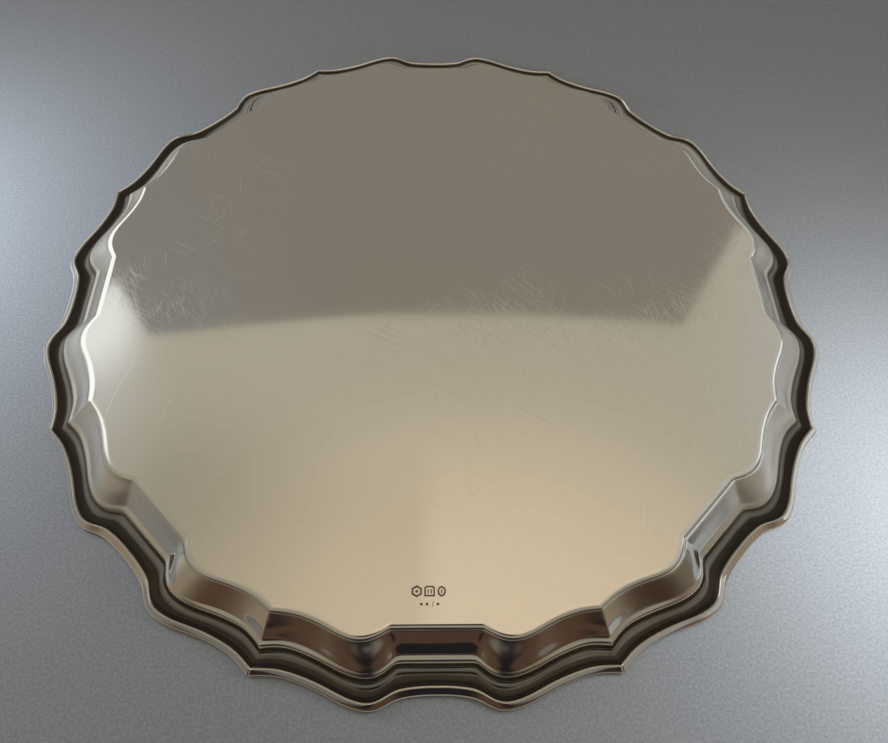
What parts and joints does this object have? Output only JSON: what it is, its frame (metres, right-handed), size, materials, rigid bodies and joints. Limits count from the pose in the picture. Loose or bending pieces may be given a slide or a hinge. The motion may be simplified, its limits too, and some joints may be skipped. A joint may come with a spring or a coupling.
{
  "type": "footless salver",
  "caption": "Shaped silver salver lying face down on its rim: flat base, stepped border with points and notches, applied rim wire; carries food or glasses when turned over.",
  "frame": {"origin": "centre of the plane the rim rests on, with the salver lying face down", "axes": "+Z out of the underside (the salver is stored face down; turn it over about X or Y for use), a notch of the border on -Y and on +X"},
  "size_m": [0.3764, 0.3764, 0.0158],
  "materials": {
    "silver_sheet": "polished silver, warm toned, finely scratched",
    "silver_wire": "polished silver with a little tarnish"
  },
  "bodies": {
    "root": {"tray_body": "silver_sheet", "rim_wire_1": "silver_wire", "rim_wire_2": "silver_wire", "rim_wire_3": "silver_wire", "rim_wire_4": "silver_wire", "rim_wire_5": "silver_wire", "rim_wire_6": "silver_wire", "rim_wire_7": "silver_wire", "rim_wire_8": "silver_wire"}
  },
  "joints": []
}
